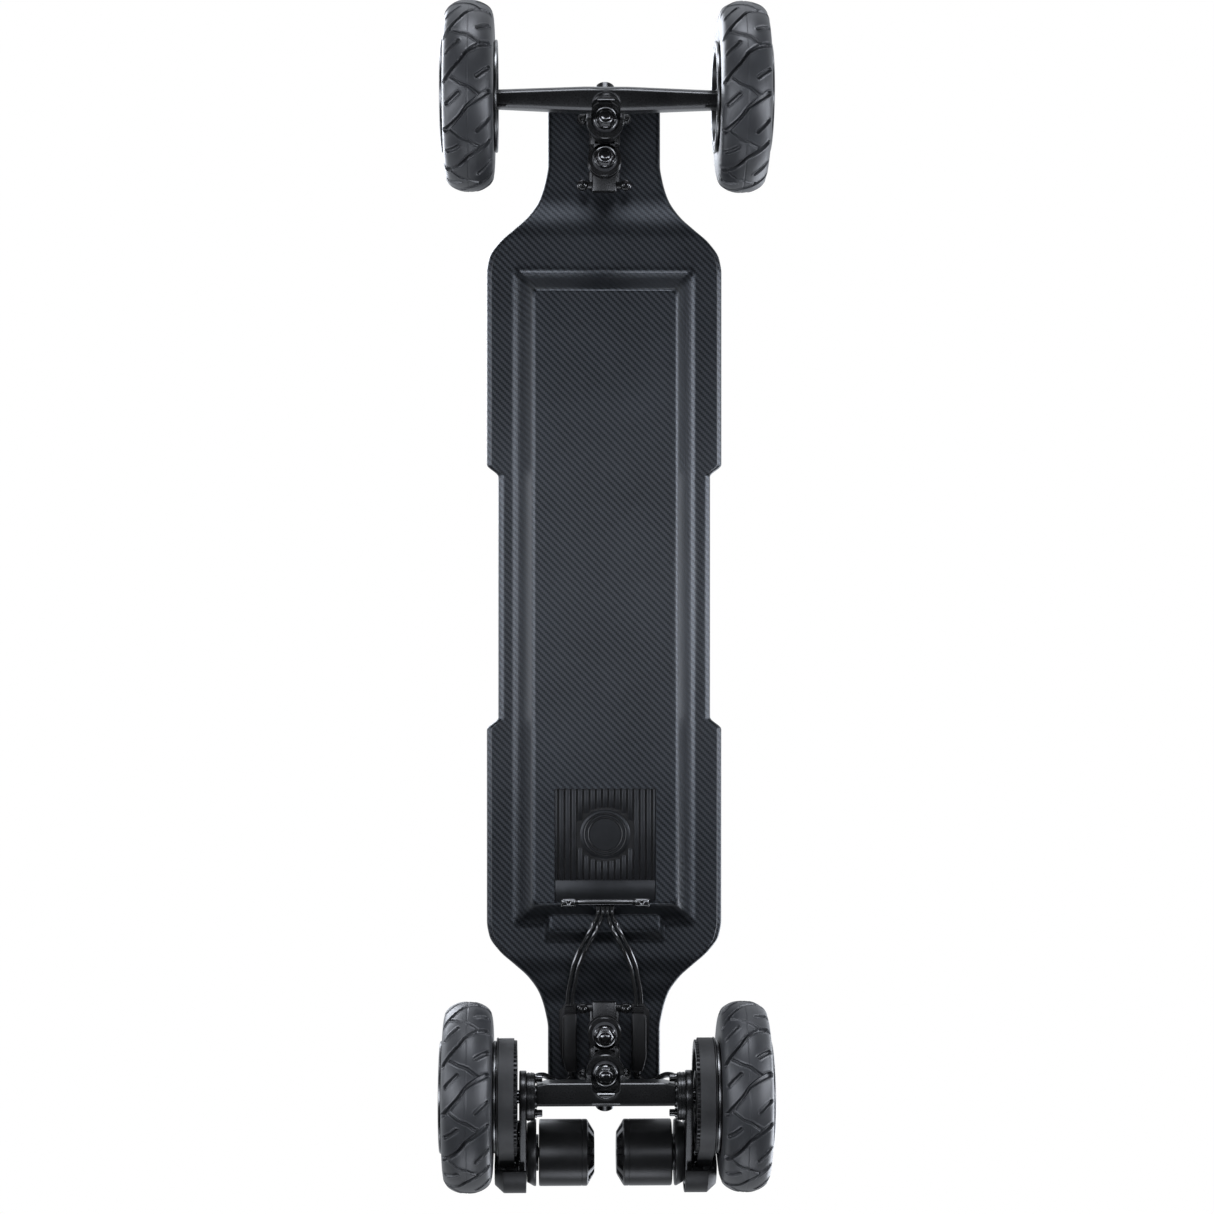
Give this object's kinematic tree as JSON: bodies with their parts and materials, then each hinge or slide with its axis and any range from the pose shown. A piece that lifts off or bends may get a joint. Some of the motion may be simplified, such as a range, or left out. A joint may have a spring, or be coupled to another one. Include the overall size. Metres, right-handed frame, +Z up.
{
  "type": "electric skateboard",
  "caption": "Electric skateboard with a carbon deck, built-in battery box, double-kingpin trucks, pneumatic wheels and belt-driven rear axle.",
  "frame": {"origin": "on the floor, midway between the axles and midway across the deck", "axes": "+Y towards the nose, +X towards the rider's right, +Z up"},
  "size_m": [0.3088, 1.1145, 0.179],
  "materials": {
    "carbon": "satin carbon twill",
    "grip": "gritty",
    "cell_pack": "shrink film",
    "circuit": "solder mask",
    "finned_metal": "black anodised",
    "black_metal": "satin black coat",
    "black_alloy": "satin black coat",
    "steel": "polished",
    "black_steel": "gloss black",
    "black_plastic": "fine grain",
    "cable_skin": "satin",
    "bushing": "urethane",
    "tyre": "moulded",
    "rim": "machined",
    "belt": "moulded"
  },
  "bodies": {
    "deck": {"deck_shell": "carbon", "deck_lid": "carbon", "port_panel": "black_plastic", "grip_sheet": "grip", "battery_pack": "cell_pack", "motor_controller": "circuit", "heatsink_cover": "finned_metal", "cable_clamp": "black_metal", "charge_port": "black_plastic", "connector_r": "black_plastic", "connector_l": "black_plastic", "power_cable_r": "cable_skin", "power_cable_l": "cable_skin", "sensor_cable_r": "cable_skin", "sensor_cable_l": "cable_skin", "motor_lead_r": "cable_skin", "motor_lead_l": "cable_skin", "front_baseplate": "black_alloy", "front_inner_kingpin": "black_steel", "front_inner_upper_bushing": "bushing", "front_inner_lower_bushing": "bushing", "rear_baseplate": "black_alloy", "rear_inner_kingpin": "black_steel", "rear_inner_upper_bushing": "bushing", "rear_inner_lower_bushing": "bushing"},
    "power_button": {"power_button": "steel"},
    "front_arm": {"front_swing_arm": "black_alloy", "front_outer_kingpin": "black_steel", "front_outer_upper_bushing": "bushing", "front_outer_lower_bushing": "bushing"},
    "front_hanger": {"front_hanger": "black_alloy", "front_axle": "steel"},
    "front_right_wheel": {"front_right_tyre": "tyre", "front_right_rim": "rim"},
    "front_left_wheel": {"front_left_tyre": "tyre", "front_left_rim": "rim"},
    "rear_arm": {"rear_swing_arm": "black_alloy", "rear_outer_kingpin": "black_steel", "rear_outer_upper_bushing": "bushing", "rear_outer_lower_bushing": "bushing"},
    "rear_hanger": {"rear_hanger": "black_alloy", "rear_axle": "steel", "motor_mount_r": "black_alloy", "motor_mount_l": "black_alloy", "motor_base_r": "black_alloy", "motor_base_l": "black_alloy", "belt_guard_r": "black_plastic", "belt_guard_l": "black_plastic", "drive_belt_r": "belt", "drive_belt_l": "belt"},
    "rear_right_wheel": {"rear_right_tyre": "tyre", "rear_right_rim": "rim", "wheel_pulley_r": "black_alloy"},
    "motor_rotor_r": {"motor_can_r": "black_metal", "motor_pulley_r": "steel"},
    "rear_left_wheel": {"rear_left_tyre": "tyre", "rear_left_rim": "rim", "wheel_pulley_l": "black_alloy"},
    "motor_rotor_l": {"motor_can_l": "black_metal", "motor_pulley_l": "steel"}
  },
  "joints": [
    {"name": "power_button_press", "type": "slide", "parent": "deck", "child": "power_button", "axis": [0, 0, -1], "range_m": [0, 0.0012], "stiffness_N_per_m": 500, "springref_m": -0.001},
    {"name": "front_arm_lean", "type": "hinge", "parent": "deck", "child": "front_arm", "pos_m": [0, 0.4158, 0.1398], "axis": [0, 0.9668, 0.2554], "range_deg": [-7, 7], "stiffness_Nm_per_rad": 90, "deforming": ["front_inner_upper_bushing", "front_inner_lower_bushing"]},
    {"name": "front_hanger_steer", "type": "hinge", "parent": "front_arm", "child": "front_hanger", "pos_m": [0, 0.4477, 0.1134], "axis": [0, 0.8807, 0.4737], "range_deg": [-7, 7], "stiffness_Nm_per_rad": 90, "deforming": ["front_outer_upper_bushing", "front_outer_lower_bushing"]},
    {"name": "front_right_wheel_spin", "type": "hinge", "parent": "front_hanger", "child": "front_right_wheel", "pos_m": [0.1268, 0.4653, 0.0875], "axis": [1, 0, 0], "continuous": true},
    {"name": "front_left_wheel_spin", "type": "hinge", "parent": "front_hanger", "child": "front_left_wheel", "pos_m": [-0.1268, 0.4653, 0.0875], "axis": [1, 0, 0], "continuous": true},
    {"name": "rear_arm_lean", "type": "hinge", "parent": "deck", "child": "rear_arm", "pos_m": [0, -0.4158, 0.1398], "axis": [0, -0.9668, 0.2554], "range_deg": [-7, 7], "stiffness_Nm_per_rad": 90, "deforming": ["rear_inner_upper_bushing", "rear_inner_lower_bushing", "motor_lead_r", "motor_lead_l"]},
    {"name": "rear_hanger_steer", "type": "hinge", "parent": "rear_arm", "child": "rear_hanger", "pos_m": [0, -0.4477, 0.1134], "axis": [0, -0.8807, 0.4737], "range_deg": [-7, 7], "stiffness_Nm_per_rad": 90, "deforming": ["rear_outer_upper_bushing", "rear_outer_lower_bushing"]},
    {"name": "rear_right_wheel_spin", "type": "hinge", "parent": "rear_hanger", "child": "rear_right_wheel", "pos_m": [0.1282, -0.4653, 0.0875], "axis": [1, 0, 0], "continuous": true},
    {"name": "motor_rotor_r_spin", "type": "hinge", "parent": "rear_hanger", "child": "motor_rotor_r", "pos_m": [0.04, -0.5243, 0.12], "axis": [1, 0, 0], "continuous": true},
    {"name": "rear_left_wheel_spin", "type": "hinge", "parent": "rear_hanger", "child": "rear_left_wheel", "pos_m": [-0.1282, -0.4653, 0.0875], "axis": [1, 0, 0], "continuous": true},
    {"name": "motor_rotor_l_spin", "type": "hinge", "parent": "rear_hanger", "child": "motor_rotor_l", "pos_m": [-0.04, -0.5243, 0.12], "axis": [1, 0, 0], "continuous": true}
  ],
  "couplings": [
    {"joint": "motor_rotor_r_spin", "follows": "rear_right_wheel_spin", "ratio": 4.125},
    {"joint": "motor_rotor_l_spin", "follows": "rear_left_wheel_spin", "ratio": 4.125}
  ]
}
